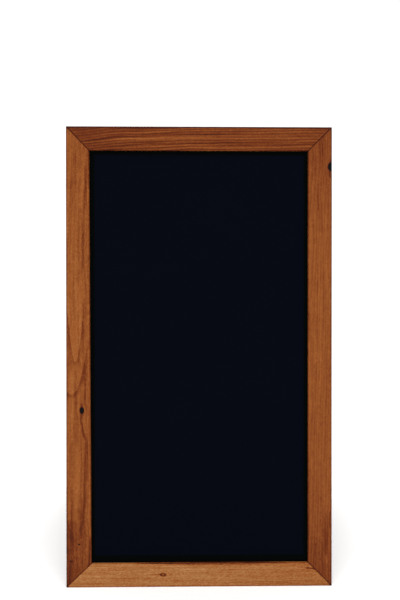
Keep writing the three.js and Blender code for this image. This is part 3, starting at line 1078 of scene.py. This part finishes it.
def writing_surface(board, smear):
    """Blue-black, with a darker, neutral black band along the frame whose inner edge is ragged."""
    half_width, half_height = (side / MM / 2 for side in OPENING)
    ragged = clouds(board.place, (60, 60, 60), 3, seed=5) * 1.2
    sides = fade(abs(board.x) + ragged, half_width - SIDE_MARGIN, half_width - SIDE_MARGIN + 1)
    top = fade(board.z + ragged, half_height - TOP_MARGIN, half_height - TOP_MARGIN + 1)
    bottom = fade(board.z + ragged, BOTTOM_MARGIN - half_height, BOTTOM_MARGIN - half_height - 1.4)
    margin = sides.math("MAXIMUM", top).math("MAXIMUM", bottom)
    field = mixed(fade(smear, -0.6, 0.6), linear(3, 5, 14), linear(4, 6, 15))
    return mixed(margin, field, linear(2, 4, 4))


def chalkboard_material(name, matrix):
    """A coated front, and bare hardboard behind."""
    board = Finish(name, specular=0.02, matrix=matrix)
    smear = clouds(board.place, (180, 40, 90), 4, 0.6, 9)
    behind = fade(board.y, 0.6, 0.9)
    fibres = clouds(board.place, (9, 2, 9), 4, 0.7, 2)
    hardboard = mixed(fade(fibres, -0.5, 0.5), linear(74, 45, 26), linear(112, 74, 45))
    weave = 2 * math.pi / SCREEN_PITCH
    screen = (board.x * weave).math("SINE") * (board.z * weave).math("SINE") * behind
    grit = clouds(board.place, (0.9, 0.9, 0.9), 3, 0.7, 4)
    colour = mixed(behind, writing_surface(board, smear), hardboard)
    return board.surface(colour, smear * 0.06 + 0.82, screen * 0.12 + grit * 0.03, 0.8)


def add_chalkboard(place):
    """A panel with rounded edges and the slight unevenness of hand-coated hardboard."""
    size = PANEL_HIGH - PANEL_LOW
    shape = bmesh.new()
    bmesh.ops.create_grid(shape, x_segments=PANEL_GRID[0], y_segments=PANEL_GRID[1], size=0.5)
    for vertex in shape.verts:
        vertex.co = Vector((vertex.co.x * size.x, 0, vertex.co.y * size.z))
    thick = bmesh.ops.extrude_face_region(shape, geom=shape.faces[:])["geom"]
    for vertex in (part for part in thick if isinstance(part, bmesh.types.BMVert)):
        vertex.co.y = size.y
    bmesh.ops.recalc_face_normals(shape, faces=shape.faces)
    rim = [edge for edge in shape.edges if edge.calc_face_angle(0) > SHARP_ANGLE]
    bmesh.ops.bevel(shape, geom=rim, offset=0.5 * MM, segments=2, profile=0.5, affect="EDGES")
    for vertex in shape.verts:
        if vertex.co.y < HAIR:
            vertex.co.y += PANEL_UNEVENNESS * (1 + noise.noise(vertex.co * 6))
    node = f"{place}_chalkboard"
    matrix = BOARD[place] @ Matrix.Translation((0, PANEL_LOW.y, MIDDLE))
    add_piece(f"{node}_panel", finished_mesh(node, shape), matrix, chalkboard_material(node, matrix),
              f"{place}_board", [node])


def beech_material():
    """Pressed, unfinished beech, with short dark flecks."""
    beech = Finish("beech", specular=0.3)
    fibres = clouds(beech.place, (1.2, 6, 1.2), 3, 0.6, 2)
    flecks = fade(clouds(beech.place, (0.6, 2.5, 0.6), 1, 0.5, 6), 0.2, 0.4)
    plain = mixed(fade(fibres, -0.5, 0.5), linear(200, 160, 108), linear(222, 186, 134))
    colour = mixed(flecks * 0.6, plain, linear(150, 104, 62))
    return beech.surface(colour, fibres * 0.1 + 0.75, fibres * 0.05, 0.7)


def finish_biscuits():
    """Gives the CAD's own biscuits their material, because their shape is right."""
    beech = beech_material()
    for name, node in frame["nodes"].items():
        if "biscuit" in name:
            node.data.materials.clear()
            node.data.materials.append(beech)


# ---------------------------------------------------------------- the easel

for board_place, grain_seed in (("front", 3), ("rear", 61)):
    add_members(board_place, grain_seed)
    add_beads(board_place, grain_seed + 50)
    add_chalkboard(board_place)
add_hinges()
add_screw_eyes()
chain_random = random.Random(11)
for chain_side in (-1, 1):
    add_chain(chain_side, chain_random)
finish_biscuits()
